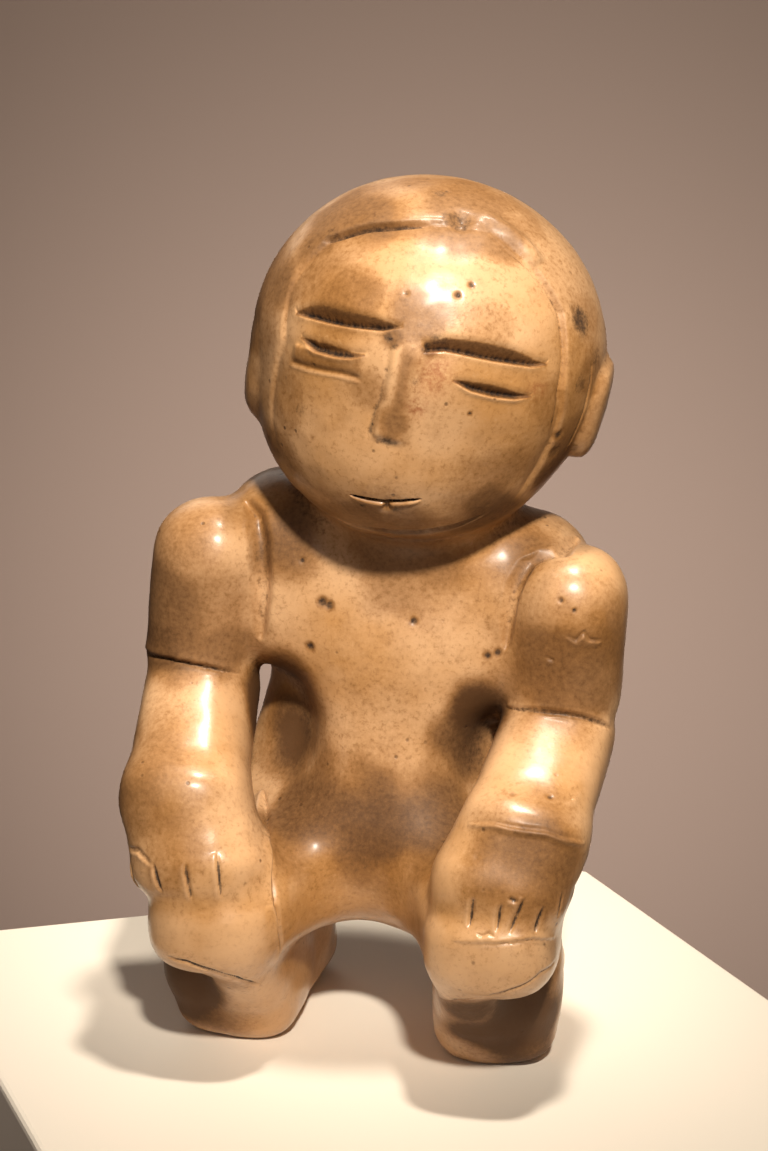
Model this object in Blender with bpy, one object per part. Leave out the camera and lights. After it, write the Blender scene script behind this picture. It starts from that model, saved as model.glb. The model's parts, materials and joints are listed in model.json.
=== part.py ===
# A squatting figurine of burnished clay, one solid, with a large tilted head and its hands on its knees.
# The figure faces -Y, +Z is up, and the origin is on the ground under the middle of its box.

import math

import bmesh
import bpy
import numpy as np
from mathutils import Euler, Matrix, Vector

# Every place and size below is a percentage of the figure's height, measured from the soles up.
FIGURE_HEIGHT = 0.160
PERCENT = FIGURE_HEIGHT / 100

# How finely the clay is worked, as percentages of the height, and the triangles left in the solid.
ROUGH_GRAIN = 1.5
FINE_GRAIN = 0.75
TRIANGLE_BUDGET = 9800
BALLS_IN_A_SWEEP = 9

# The head's own frame: where its middle is, and how far it rolls, turns and nods, in degrees.
HEAD_MIDDLE = (4.3, -6.0, 79.6)
HEAD_ROLL = 14.0
HEAD_TURN = 5.0
HEAD_NOD = 10.0

# The cut brows and eyes and the mouth, as (across, up) from the head's middle in its own frame.
BROWS = (
    ((-13.8, 5.6), (-11.4, 6.3), (-8.0, 6.8), (-4.6, 7.0), (-2.7, 6.9)),
    ((0.7, 7.7), (3.8, 7.9), (8.0, 7.6), (11.1, 7.4), (12.8, 7.3)),
)
BROW_WIDTH = 1.9
BROW_DEPTH = 1.5
EYES = (
    ((-11.9, 2.8), (-9.8, 3.3), (-7.6, 3.8), (-5.6, 4.2)),
    ((4.4, 4.7), (6.8, 4.5), (9.4, 4.4), (11.3, 4.3)),
)
EYE_WIDTH = 1.2
EYE_DEPTH = 1.1
LID_PAD = ((-12.6, 0.0), (-8.0, 1.4), (-3.9, 2.9))
LID_PAD_RISE = 0.28
MOUTH = ((-3.6, -11.4), (0.3, -11.0), (3.6, -9.8))
MOUTH_WIDTH = 0.8
MOUTH_DEPTH = 0.7
NOSE_TOP = (-1.3, 7.0, 1.7)
NOSE_TIP = (-0.5, -2.6, 1.6)
NOSE_RISE = 1.0

# The lip of the hair and the fold under the chin. Each is a ring seen from the front, as (turn from the
# crown towards the viewer's right, opening from the face's axis), in degrees.
HAIRLINE = (
    (-180, 58), (-130, 56), (-108, 53), (-83, 50), (-68, 58), (-60, 62), (-46, 65), (-20, 63), (1, 66),
    (9, 68), (30, 66), (46, 64), (59, 59), (73, 56), (89, 57), (111, 59), (130, 60), (180, 58),
)
HAIR_STEP = 0.55
HAIR_LIP = 0.3
HAIR_NOTCH = (0.3, -7.8, 18.2)
CHIN_FOLD = ((-180, 52), (-159, 48), (-120, 50), (120, 58), (142, 53), (165, 54), (180, 52))
CHIN_FOLD_DEPTH = 0.35

# Finger strokes and the ridge of the right wrist, as (across, up) on the front of the figure.
FINGERS = (
    ((14.3, 24.0), (14.3, 21.9)), ((17.4, 24.5), (17.2, 22.2)), ((20.0, 25.6), (18.8, 21.8)),
    ((21.9, 24.8), (21.0, 21.8)), ((-21.0, 25.4), (-19.8, 21.4)), ((-17.4, 25.7), (-16.7, 21.8)),
    ((-13.9, 25.8), (-12.9, 22.3)),
)
FINGER_WIDTH = 0.8
FINGER_DEPTH = 0.4
WRIST_RIDGE = ((12.6, 32.4), (16.8, 33.1), (21.1, 32.3), (25.8, 31.0))
WRIST_RISE = 0.3

CLAY_COLOUR = (0.62, 0.40, 0.21, 1.0)
CLAY_ROUGHNESS = 0.42


def clear_scene():
    for thing in list(bpy.data.objects):
        bpy.data.objects.remove(thing, do_unlink=True)


def turned(roll=0.0, turn=0.0, nod=0.0):
    """The rotation of a lump: nod about X, roll about Y and turn about Z, in degrees."""
    return Euler([math.radians(angle) for angle in (nod, roll, turn)]).to_matrix()


HEAD_FRAME = turned(HEAD_ROLL, HEAD_TURN, HEAD_NOD)


def lump(start, radii, end=None, end_radii=None, frame=None, square=2.0, blend=2.0):
    """A ball of clay, or a ball swept from start to end while its three radii change."""
    frame = frame or Matrix.Identity(3)
    return {
        "start": np.array(start, float) * PERCENT,
        "end": np.array(end or start, float) * PERCENT,
        "radii": np.array(radii, float) * PERCENT,
        "end_radii": np.array(end_radii or radii, float) * PERCENT,
        "frame": np.array(frame, float),
        "square": square,
        "blend": blend * PERCENT,
    }


def head_lump(place, radii, **kept):
    """A ball set in the head's frame, place being measured from the head's middle."""
    middle = Vector(HEAD_MIDDLE) + HEAD_FRAME @ Vector(place)
    return lump(tuple(middle), radii, frame=HEAD_FRAME, **kept)


def torso():
    return [
        lump((-9.0, 0.0, 53.5), (11.0, 10.0, 10.5), (11.0, 0.5, 50.5), (11.0, 10.0, 10.5), square=2.8, blend=3),
        lump((-13.0, 0.0, 59.3), (6.0, 7.5, 6.5), (16.0, 0.5, 56.3), (6.0, 7.5, 6.0), blend=4),
        lump((3.0, -1.5, 60.5), (9.5, 8.0, 6.0), blend=5),
        lump((1.0, -0.5, 43.0), (9.0, 9.5, 12.0), (0.8, -0.5, 28.0), (9.5, 11.5, 12.5), square=2.4, blend=7),
        lump((0.8, 5.0, 44.0), (14.9, 7.5, 12.0), (-0.6, 5.0, 27.0), (17.6, 8.5, 11.0), square=2.6, blend=4),
    ]


def leg(side, hip, knee, ankle, toe):
    """Thigh, knee, shin and foot of one leg. side is -1 or 1."""
    heel = (toe[0] - side * 1.0, 12.0, toe[2])
    inner = (knee[0] - side * 2.6, knee[1] + 4.0, knee[2])
    return [
        lump(hip, (8.2, 8.5, 8.0), knee, (7.4, 8.0, 5.8), square=2.8, blend=8),
        lump(inner, (4.2, 9.0, 9.0), (inner[0], -6.0, 6.5), (4.4, 6.0, 6.5), square=3.0, blend=2),
        lump(ankle, (7.2, 7.2, 6.0), (ankle[0] - side * 2.4, 7.0, 11.5), (7.2, 7.5, 8.5), square=2.8, blend=3),
        lump(toe, (7.0, 5.6, 4.4), heel, (6.4, 6.0, 4.4), square=2.6, blend=2),
    ]


def arm(shoulder, elbow, forearm, wrist, knuckles, roll):
    """Upper arm, forearm and hand of one arm."""
    bent = turned(roll)
    under_wrist = (wrist[0], wrist[1] + 3.5, wrist[2] - 6.5)
    return [
        lump(under_wrist, (5.4, 5.0, 4.0), blend=3),
        lump(shoulder, (6.7, 7.4, 7.0), elbow, (6.6, 6.8, 5.0), square=2.3, blend=1.6),
        lump(forearm, (6.5, 6.4, 6.0), wrist, (6.7, 6.2, 5.2), frame=bent, square=2.6, blend=0.9),
        lump(wrist, (7.0, 6.2, 5.2), knuckles, (7.6, 6.0, 5.0), frame=bent, square=2.5, blend=1.6),
    ]


def head():
    return [
        head_lump((-0.5, 0.5, 1.7), (19.6, 19.0, 18.6), blend=0.8),
        head_lump((-0.7, -1.4, -7.0), (15.7, 16.3, 12.2), blend=3.6),
        head_lump((18.1, 0.0, 0.5), (2.0, 5.4, 5.5), square=3, blend=0.3),
        head_lump((-15.9, -0.5, -3.2), (3.3, 7.5, 7.6), square=2.6, blend=1.2),
    ]


def all_lumps():
    left_leg = leg(-1, (-7.5, 2.0, 22.5), (-15.6, -17.5, 17.4), (-17.0, -7.6, 9.5), (-15.8, -7.2, 4.2))
    right_leg = leg(1, (8.5, 2.0, 21.5), (15.8, -19.0, 18.5), (15.2, -7.6, 9.5), (14.8, -7.0, 4.2))
    left_arm = arm(
        (-20.2, -5.0, 55.7), (-21.3, -4.0, 45.0), (-21.2, -5.5, 39.8), (-19.7, -17.0, 31.0), (-17.4, -19.5, 24.2),
        roll=6,
    )
    right_arm = arm(
        (20.8, -5.0, 53.0), (20.4, -4.0, 43.0), (20.1, -5.5, 37.8), (18.5, -17.5, 30.0), (16.5, -20.2, 25.0),
        roll=10,
    )
    return torso() + left_leg + right_leg + left_arm + right_arm + head()


def lump_depth(clay, points):
    """How far each point lies outside a lump, along the ray from the lump's core."""
    axis = clay["end"] - clay["start"]
    length = float(axis @ axis)
    along = np.clip((points - clay["start"]) @ axis / length, 0, 1) if length else np.zeros(len(points))
    core = clay["start"] + along[:, None] * axis
    radii = clay["radii"] + along[:, None] * (clay["end_radii"] - clay["radii"])
    ray = (points - core) @ clay["frame"]
    reach = (np.abs(ray / radii) ** clay["square"]).sum(1) ** (1 / clay["square"])
    reach = np.maximum(reach, 1e-6)
    return np.linalg.norm(ray, axis=1) * (1 - 1 / reach)


def clay_depth(lumps, points):
    """How far each point lies outside the blended figure."""
    depth = lump_depth(lumps[0], points)
    for clay in lumps[1:]:
        other = lump_depth(clay, points)
        blend = clay["blend"]
        overlap = np.maximum(blend - np.abs(depth - other), 0) / blend
        depth = np.minimum(depth, other) - overlap**2 * blend / 4
    return depth


def rough_mesh(lumps):
    """Every lump as a row of overlapping balls, all in one mesh."""
    bm = bmesh.new()
    for clay in lumps:
        swept = bool(np.any(clay["start"] != clay["end"]))
        for along in np.linspace(0, 1, BALLS_IN_A_SWEEP if swept else 1):
            place = clay["start"] + along * (clay["end"] - clay["start"])
            radii = clay["radii"] + along * (clay["end_radii"] - clay["radii"])
            turn = Matrix(clay["frame"]).to_4x4()
            pose = Matrix.Translation(place) @ turn @ Matrix.Diagonal((*radii, 1))
            bmesh.ops.create_icosphere(bm, subdivisions=3, radius=1, matrix=pose)
    mesh = bpy.data.meshes.new("rough")
    bm.to_mesh(mesh)
    bm.free()
    return mesh


def remeshed(mesh, grain):
    """The mesh's outer skin in even quads of about grain."""
    holder = bpy.data.objects.new("holder", mesh)
    bpy.context.scene.collection.objects.link(holder)
    skin = holder.modifiers.new("Skin", "REMESH")
    skin.mode = "VOXEL"
    skin.voxel_size = grain
    depsgraph = bpy.context.evaluated_depsgraph_get()
    result = bpy.data.meshes.new_from_object(holder.evaluated_get(depsgraph))
    bpy.data.objects.remove(holder)
    return result


def points_of(mesh):
    points = np.empty(len(mesh.vertices) * 3, np.float32)
    mesh.vertices.foreach_get("co", points)
    return points.reshape(-1, 3).astype(float)


def set_points(mesh, points):
    mesh.vertices.foreach_set("co", points.astype(np.float32).ravel())
    mesh.update()


def evened(mesh, factor):
    """Moves each vertex part of the way to the middle of its neighbours."""
    bm = bmesh.new()
    bm.from_mesh(mesh)
    bmesh.ops.smooth_vert(bm, verts=bm.verts, factor=factor, use_axis_x=True, use_axis_y=True, use_axis_z=True)
    bm.to_mesh(mesh)
    bm.free()


def pressed_on(mesh, lumps):
    """Moves the vertices onto the blended figure's surface."""
    step = 0.05 * PERCENT
    points = points_of(mesh)
    for _ in range(2):
        depth = clay_depth(lumps, points)
        slope = np.stack([(clay_depth(lumps, points + step * axis) - depth) / step for axis in np.eye(3)], axis=1)
        steepness = np.maximum((slope**2).sum(1), 0.2)
        points -= (depth / steepness)[:, None] * slope
    set_points(mesh, points)


def settled(mesh, lumps, passes):
    for _ in range(passes):
        evened(mesh, 0.5)
        pressed_on(mesh, lumps)


def normals_of(mesh):
    normals = np.empty(len(mesh.vertices) * 3, np.float32)
    mesh.vertex_normals.foreach_get("vector", normals)
    return normals.reshape(-1, 3).astype(float)


def finer_where(mesh, wanted):
    """Halves the grain on the faces whose corners are all wanted."""
    bm = bmesh.new()
    bm.from_mesh(mesh)
    bm.verts.ensure_lookup_table()
    edges = {
        edge for face in bm.faces if all(wanted[v.index] for v in face.verts) for edge in face.edges
    }
    bmesh.ops.subdivide_edges(bm, edges=sorted(edges, key=lambda edge: edge.index), cuts=1, use_grid_fill=True)
    bm.to_mesh(mesh)
    bm.free()


def smoothstep(value):
    value = np.clip(value, 0, 1)
    return value * value * (3 - 2 * value)


def in_head(points):
    """Places in the head's frame, as percentages of the height."""
    return (points / PERCENT - np.array(HEAD_MIDDLE)) @ np.array(HEAD_FRAME)


def from_path(flat, path):
    """How far flat points lie above a path and from it, and how far along it from 0 to 1."""
    path = np.array(path, float)
    lengths = np.linalg.norm(np.diff(path, axis=0), axis=1)
    travelled = np.concatenate([[0], np.cumsum(lengths)])
    nearest = np.full(len(flat), np.inf)
    above = np.zeros(len(flat))
    along = np.zeros(len(flat))
    for index, length in enumerate(lengths):
        heading = (path[index + 1] - path[index]) / length
        offset = flat - path[index]
        share = np.clip(offset @ heading, 0, length)
        gap = offset - share[:, None] * heading
        distance = np.linalg.norm(gap, axis=1)
        closer = distance < nearest
        nearest[closer] = distance[closer]
        above[closer] = (offset @ np.array((-heading[1], heading[0])))[closer]
        along[closer] = ((travelled[index] + share) / travelled[-1])[closer]
    return above, nearest, along


def stroke(flat, path, width, lean=0.0):
    """A tapering cut along a path, 1 at its bottom. A positive lean makes its lower side the steeper."""
    above, nearest, along = from_path(flat, path)
    taper = np.sqrt(np.clip(1 - np.abs(2 * along - 1) ** 3, 0.02, 1))
    half = np.where(above > 0, 1 + lean, 1 - lean) * width / 2 * taper
    return smoothstep(1 - nearest / half) ** 0.8 * taper


def ring_opening(place, ring):
    """How many degrees inside a ring each place is, seen along the face's axis."""
    distance = np.linalg.norm(place, axis=1)
    opening = np.degrees(np.arccos(np.clip(-place[:, 1] / distance, -1, 1)))
    turn = np.degrees(np.arctan2(place[:, 0], place[:, 2]))
    return np.interp(turn, [r[0] for r in ring], [r[1] for r in ring]) - opening, turn


def hair_and_chin(place):
    """The hair standing above the face along its lip, its small notch, and the fold under the chin."""
    inside, turn = ring_opening(place, HAIRLINE)
    fade = smoothstep((128 - np.abs(turn)) / 25)
    step = smoothstep(inside / 3.0 + 0.5)
    shift = -HAIR_STEP * step * np.exp(-np.maximum(inside, 0) / 12) * fade
    shift += HAIR_LIP * (1 - step) * np.exp(-np.maximum(-inside, 0) / 5) * fade
    notch = np.linalg.norm(place - np.array(HAIR_NOTCH), axis=1)
    shift -= 0.5 * smoothstep(1 - notch / 1.9)
    fold, _ = ring_opening(place, CHIN_FOLD)
    under = smoothstep((np.abs(turn) - 118) / 15)
    shift -= CHIN_FOLD_DEPTH * smoothstep(1 - np.abs(fold) / 2.2) * under
    return shift


def nose(flat):
    """A low ridge, narrow between the brows and fullest at its tip."""
    top, tip = np.array(NOSE_TOP), np.array(NOSE_TIP)
    down = (top[1] - flat[:, 1]) / (top[1] - tip[1])
    share = np.clip(down, 0, 1)
    middle = top[0] + share * (tip[0] - top[0])
    half = top[2] + share * (tip[2] - top[2])
    across = np.clip(1 - np.abs(flat[:, 0] - middle) / half, 0, 1)
    rise = 0.35 + 0.65 * share
    ends = smoothstep((down + 0.1) / 0.2) * smoothstep((1.1 - down) / 0.1)
    return NOSE_RISE * rise * smoothstep(across * 2.2) * ends


def face(place):
    """The brows, eyes, nose and mouth, as how far the surface moves out."""
    flat = place[:, [0, 2]]
    shift = nose(flat)
    above_pad, _, _ = from_path(flat, LID_PAD)
    above_eye, _, _ = from_path(flat, EYES[0])
    pad = smoothstep(above_pad / 0.5) * smoothstep(1 - above_eye)
    pad *= smoothstep((flat[:, 0] + 13.0) / 0.8) * smoothstep((-4.0 - flat[:, 0]) / 1.5)
    shift += LID_PAD_RISE * pad
    for path in BROWS:
        shift -= BROW_DEPTH * stroke(flat, path, BROW_WIDTH, lean=0.35)
    for path in EYES:
        shift -= EYE_DEPTH * stroke(flat, path, EYE_WIDTH, lean=0.2)
    shift -= MOUTH_DEPTH * stroke(flat, MOUTH, MOUTH_WIDTH, lean=0.2)
    return np.where(place[:, 1] < -6, shift, 0)


def hands(points):
    """The strokes between the fingers and the ridge across the right wrist."""
    flat = points[:, [0, 2]] / PERCENT
    shift = np.zeros(len(points))
    for path in FINGERS:
        shift -= FINGER_DEPTH * stroke(flat, path, FINGER_WIDTH)
    shift += WRIST_RISE * stroke(flat, WRIST_RIDGE, 2.2, lean=0.3)
    return np.where(points[:, 1] < -14 * PERCENT, shift, 0)


def carved(mesh):
    points = points_of(mesh)
    place = in_head(points)
    on_head = np.linalg.norm(place, axis=1) < 24
    shift = np.where(on_head, hair_and_chin(place) + face(place), hands(points))
    set_points(mesh, points + normals_of(mesh) * (shift * PERCENT)[:, None])


def flat_soles(mesh):
    """Cuts the undersides of the feet flat on the ground."""
    points = points_of(mesh)
    points[:, 2] = np.maximum(points[:, 2], 0)
    set_points(mesh, points)


def clay_material():
    material = bpy.data.materials.new("burnished_clay")
    material.use_nodes = True
    shader = material.node_tree.nodes["Principled BSDF"]
    shader.inputs["Base Color"].default_value = CLAY_COLOUR
    shader.inputs["Roughness"].default_value = CLAY_ROUGHNESS
    shader.inputs["Metallic"].default_value = 0.0
    return material


def detailed_places(mesh):
    """Where the face, the hair's lip and the fingers need the finer grain."""
    points = points_of(mesh) / PERCENT
    place = in_head(points * PERCENT)
    face_front = (place[:, 1] < -7) & (np.abs(place[:, 2] + 1) < 17.5) & (np.linalg.norm(place, axis=1) < 24)
    lip = (place[:, 1] < -3) & (place[:, 2] > 8) & (np.linalg.norm(place, axis=1) < 24)
    fingers = (points[:, 1] < -20) & (np.abs(points[:, 2] - 23.8) < 3)
    return face_front | lip | fingers


def simplified(mesh, triangles):
    """The mesh in triangles, thinned to about the number given."""
    bm = bmesh.new()
    bm.from_mesh(mesh)
    bmesh.ops.triangulate(bm, faces=bm.faces)
    bm.to_mesh(mesh)
    bm.free()
    holder = bpy.data.objects.new("holder", mesh)
    bpy.context.scene.collection.objects.link(holder)
    thin = holder.modifiers.new("Thin", "DECIMATE")
    thin.ratio = triangles / len(mesh.polygons)
    depsgraph = bpy.context.evaluated_depsgraph_get()
    result = bpy.data.meshes.new_from_object(holder.evaluated_get(depsgraph))
    bpy.data.objects.remove(holder)
    return result


def centred(mesh):
    """Puts the origin on the ground under the middle of the mesh's box, at exactly the figure's height."""
    points = points_of(mesh)
    low, high = points.min(0), points.max(0)
    points -= np.array(((low[0] + high[0]) / 2, (low[1] + high[1]) / 2, low[2]))
    points[:, 2] *= FIGURE_HEIGHT / (high[2] - low[2])
    set_points(mesh, points)


def build_figurine():
    lumps = all_lumps()
    mesh = remeshed(rough_mesh(lumps), ROUGH_GRAIN * PERCENT)
    settled(mesh, lumps, passes=3)
    mesh = remeshed(mesh, FINE_GRAIN * PERCENT)
    settled(mesh, lumps, passes=2)
    finer_where(mesh, detailed_places(mesh))
    pressed_on(mesh, lumps)
    carved(mesh)
    flat_soles(mesh)
    mesh = simplified(mesh, TRIANGLE_BUDGET)
    centred(mesh)
    mesh.name = "figurine"
    for polygon in mesh.polygons:
        polygon.use_smooth = True
    mesh.materials.append(clay_material())
    figurine = bpy.data.objects.new("figurine", mesh)
    bpy.context.scene.collection.objects.link(figurine)
    return figurine


clear_scene()
build_figurine()
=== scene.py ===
import json
import math

import bmesh
import bpy
import numpy as np
from mathutils import Euler, Matrix, Vector, noise

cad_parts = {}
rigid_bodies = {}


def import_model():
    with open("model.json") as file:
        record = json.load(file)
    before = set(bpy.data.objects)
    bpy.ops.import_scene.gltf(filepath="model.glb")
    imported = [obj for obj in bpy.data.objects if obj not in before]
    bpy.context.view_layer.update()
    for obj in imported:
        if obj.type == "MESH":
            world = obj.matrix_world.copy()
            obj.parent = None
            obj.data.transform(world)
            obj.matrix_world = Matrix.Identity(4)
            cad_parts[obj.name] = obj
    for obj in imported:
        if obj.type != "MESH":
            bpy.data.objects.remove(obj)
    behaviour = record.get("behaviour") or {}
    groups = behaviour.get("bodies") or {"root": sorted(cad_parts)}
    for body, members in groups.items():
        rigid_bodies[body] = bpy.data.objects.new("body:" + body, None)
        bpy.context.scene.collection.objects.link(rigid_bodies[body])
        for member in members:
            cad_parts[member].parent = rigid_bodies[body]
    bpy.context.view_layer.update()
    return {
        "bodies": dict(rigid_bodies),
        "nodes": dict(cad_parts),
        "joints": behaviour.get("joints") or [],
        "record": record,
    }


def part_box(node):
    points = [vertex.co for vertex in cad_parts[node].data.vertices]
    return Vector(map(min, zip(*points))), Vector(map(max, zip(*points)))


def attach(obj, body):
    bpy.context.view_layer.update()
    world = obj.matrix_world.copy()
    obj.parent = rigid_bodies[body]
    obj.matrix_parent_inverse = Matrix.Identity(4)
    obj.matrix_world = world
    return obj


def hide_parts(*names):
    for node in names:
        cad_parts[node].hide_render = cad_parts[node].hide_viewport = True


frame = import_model()
print("stage: frame loaded")

# Places and sizes of the clay are in hundredths of the figure's height, from the soles up.
# The solid was centred over its base after it was modelled, and everything here moves with it.
hundredth = 0.0016
centring = Vector((0.193, 4.494, 0.001))

# How finely the clay is worked, in hundredths of the height.
clayGrain = {"rough": 1.5, "fine": 0.76, "trying": 0.85}


def turned(roll=0.0, turn=0.0, nod=0.0):
    # nod about X, roll about Y and turn about Z, in degrees
    return Euler([math.radians(angle) for angle in (nod, roll, turn)]).to_matrix()


def lump(start, radii, end=None, endRadii=None, frame=None, square=2.0, blend=2.0):
    # a ball of clay, or one swept from start to end while its three radii change
    return {
        "start": np.array(start, float),
        "end": np.array(end or start, float),
        "radii": np.array(radii, float),
        "endRadii": np.array(endRadii or radii, float),
        "frame": np.array(frame or Matrix.Identity(3), float),
        "square": square,
        "blend": blend,
    }


torso = {
    "shoulderBar": lump((-9, 0, 53.5), (11, 10, 10.5), (11, 0.5, 50.5), (11, 10, 10.5), square=2.8, blend=3),
    "shoulderTops": lump((-13, 0, 59.3), (6, 7.5, 6.5), (16, 0.5, 56.3), (6, 7.5, 6), blend=4),
    "neck": lump((3, -1.5, 60.5), (9.5, 8, 6), blend=5),
    "belly": lump((1, -0.5, 43), (9, 9.5, 12), (0.8, -0.5, 28), (9.5, 11.5, 12.5), square=2.4, blend=7),
    "back": lump((0.8, 5, 44), (14.9, 7.5, 12), (-0.6, 5, 27), (17.6, 8.5, 11), square=2.6, blend=4),
}

legs = {
    "left": {"side": -1, "hip": (-7.5, 2, 22.5), "knee": (-15.6, -17.5, 17.4),
             "ankle": (-17, -7.6, 9.5), "toe": (-15.8, -7.2, 4.2)},
    "right": {"side": 1, "hip": (8.5, 2, 21.5), "knee": (15.8, -19, 18.5),
              "ankle": (15.2, -7.6, 9.5), "toe": (14.8, -7, 4.2)},
}

arms = {
    "left": {"roll": 6, "shoulder": (-20.2, -5, 55.7), "elbow": (-21.3, -4, 45),
             "forearm": (-21.2, -5.5, 39.8), "wrist": (-19.7, -17, 31), "knuckles": (-17.4, -19.5, 24.2)},
    "right": {"roll": 10, "shoulder": (20.8, -5, 53), "elbow": (20.4, -4, 43),
              "forearm": (20.1, -5.5, 37.8), "wrist": (18.5, -17.5, 30), "knuckles": (16.5, -20.2, 25)},
}

head = {"middle": Vector((4.3, -6, 79.6)), "frame": turned(roll=14, turn=5, nod=10),
        "reach": 24, "faceFront": -6}


def legLumps(leg):
    side, knee, toe, ankle = leg["side"], leg["knee"], leg["toe"], leg["ankle"]
    heel = (toe[0] - side, 12, toe[2])
    inner = (knee[0] - side * 2.6, knee[1] + 4, knee[2])
    return [
        lump(leg["hip"], (8.2, 8.5, 8), knee, (7.4, 8, 5.8), square=2.8, blend=8),
        lump(inner, (4.2, 9, 9), (inner[0], -6, 6.5), (4.4, 6, 6.5), square=3, blend=2),
        lump(ankle, (7.2, 7.2, 6), (ankle[0] - side * 2.4, 7, 11.5), (7.2, 7.5, 8.5), square=2.8, blend=3),
        lump(toe, (7, 5.6, 4.4), heel, (6.4, 6, 4.4), square=2.6, blend=2),
    ]


def armLumps(arm):
    bent = turned(arm["roll"])
    wrist = arm["wrist"]
    underWrist = (wrist[0], wrist[1] + 3.5, wrist[2] - 6.5)
    return [
        lump(underWrist, (5.4, 5, 4), blend=3),
        lump(arm["shoulder"], (6.7, 7.4, 7), arm["elbow"], (6.6, 6.8, 5), square=2.3, blend=1.6),
        lump(arm["forearm"], (6.5, 6.4, 6), wrist, (6.7, 6.2, 5.2), frame=bent, square=2.6, blend=0.9),
        lump(wrist, (7, 6.2, 5.2), arm["knuckles"], (7.6, 6, 5), frame=bent, square=2.5, blend=1.6),
    ]


def headLump(place, radii, **kept):
    return lump(tuple(head["middle"] + head["frame"] @ Vector(place)), radii, frame=head["frame"], **kept)


def headLumps():
    return [
        headLump((-0.5, 0.5, 1.7), (19.6, 19, 18.6), blend=0.8),
        headLump((-0.7, -1.4, -7), (15.7, 16.3, 12.2), blend=3.6),
        headLump((18.1, 0, 0.5), (2, 5.4, 5.5), square=3, blend=0.3),
        headLump((-15.9, -0.5, -3.2), (3.3, 7.5, 7.6), square=2.6, blend=1.2),
    ]


allLumps = list(torso.values()) + legLumps(legs["left"]) + legLumps(legs["right"])
allLumps += armLumps(arms["left"]) + armLumps(arms["right"]) + headLumps()


def lumpDepth(clay, points):
    # how far each point lies outside a lump, along the ray from its core
    axis = clay["end"] - clay["start"]
    length = float(axis @ axis)
    along = np.clip((points - clay["start"]) @ axis / length, 0, 1) if length else np.zeros(len(points))
    core = clay["start"] + along[:, None] * axis
    radii = clay["radii"] + along[:, None] * (clay["endRadii"] - clay["radii"])
    ray = (points - core) @ clay["frame"]
    reach = (np.abs(ray / radii) ** clay["square"]).sum(1) ** (1 / clay["square"])
    reach = np.maximum(reach, 1e-6)
    return np.linalg.norm(ray, axis=1) * (1 - 1 / reach)


def clayDepth(points):
    depth = lumpDepth(allLumps[0], points)
    for clay in allLumps[1:]:
        other = lumpDepth(clay, points)
        blend = clay["blend"]
        overlap = np.maximum(blend - np.abs(depth - other), 0) / blend
        depth = np.minimum(depth, other) - overlap**2 * blend / 4
    return depth


# Working the mesh. It is kept in hundredths until the figure is fitted to its solid's box.

def roughClay():
    bm = bmesh.new()
    for clay in allLumps:
        swept = bool(np.any(clay["start"] != clay["end"]))
        for along in np.linspace(0, 1, 9 if swept else 1):
            place = clay["start"] + along * (clay["end"] - clay["start"])
            radii = clay["radii"] + along * (clay["endRadii"] - clay["radii"])
            pose = Matrix.Translation(place) @ Matrix(clay["frame"]).to_4x4() @ Matrix.Diagonal((*radii, 1))
            bmesh.ops.create_icosphere(bm, subdivisions=3, radius=1, matrix=pose)
    mesh = bpy.data.meshes.new("roughClay")
    bm.to_mesh(mesh)
    bm.free()
    return mesh


def remeshed(mesh, grain):
    holder = bpy.data.objects.new("holder", mesh)
    bpy.context.scene.collection.objects.link(holder)
    skin = holder.modifiers.new("Skin", "REMESH")
    skin.mode = "VOXEL"
    skin.voxel_size = grain
    result = bpy.data.meshes.new_from_object(holder.evaluated_get(bpy.context.evaluated_depsgraph_get()))
    bpy.data.objects.remove(holder)
    bpy.data.meshes.remove(mesh)
    return result


def pointsOf(mesh):
    points = np.empty(len(mesh.vertices) * 3, np.float32)
    mesh.vertices.foreach_get("co", points)
    return points.reshape(-1, 3).astype(float)


def setPoints(mesh, points):
    mesh.vertices.foreach_set("co", points.astype(np.float32).ravel())
    mesh.update()


def normalsOf(mesh):
    normals = np.empty(len(mesh.vertices) * 3, np.float32)
    mesh.vertex_normals.foreach_get("vector", normals)
    return normals.reshape(-1, 3).astype(float)


def evened(mesh, passes=1):
    # in each pass every vertex moves half of the way to the middle of its neighbours
    bm = bmesh.new()
    bm.from_mesh(mesh)
    every = {"use_axis_x": True, "use_axis_y": True, "use_axis_z": True}
    for _ in range(passes):
        bmesh.ops.smooth_vert(bm, verts=bm.verts, factor=0.5, **every)
    bm.to_mesh(mesh)
    bm.free()


def pressedOn(mesh):
    # the vertices move along their normals onto the blended clay
    step, leastSlope = 0.05, 0.35
    points, normals = pointsOf(mesh), normalsOf(mesh)
    for _ in range(2):
        depth = clayDepth(points)
        slope = (clayDepth(points + step * normals) - depth) / step
        points -= normals * (depth / np.maximum(slope, leastSlope))[:, None]
    setPoints(mesh, points)


def finerWhere(mesh, wanted):
    # halves the grain on the faces whose corners are all wanted
    bm = bmesh.new()
    bm.from_mesh(mesh)
    bm.verts.ensure_lookup_table()
    edges = {edge for face in bm.faces if all(wanted[v.index] for v in face.verts) for edge in face.edges}
    edges = sorted(edges, key=lambda edge: edge.index)
    bmesh.ops.subdivide_edges(bm, edges=edges, cuts=1, use_grid_fill=True)
    bm.to_mesh(mesh)
    bm.free()


def smoothstep(value):
    value = np.clip(value, 0, 1)
    return value * value * (3 - 2 * value)


def inHead(points):
    # the points in the head's frame
    return (points - np.array(head["middle"])) @ np.array(head["frame"])


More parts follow.
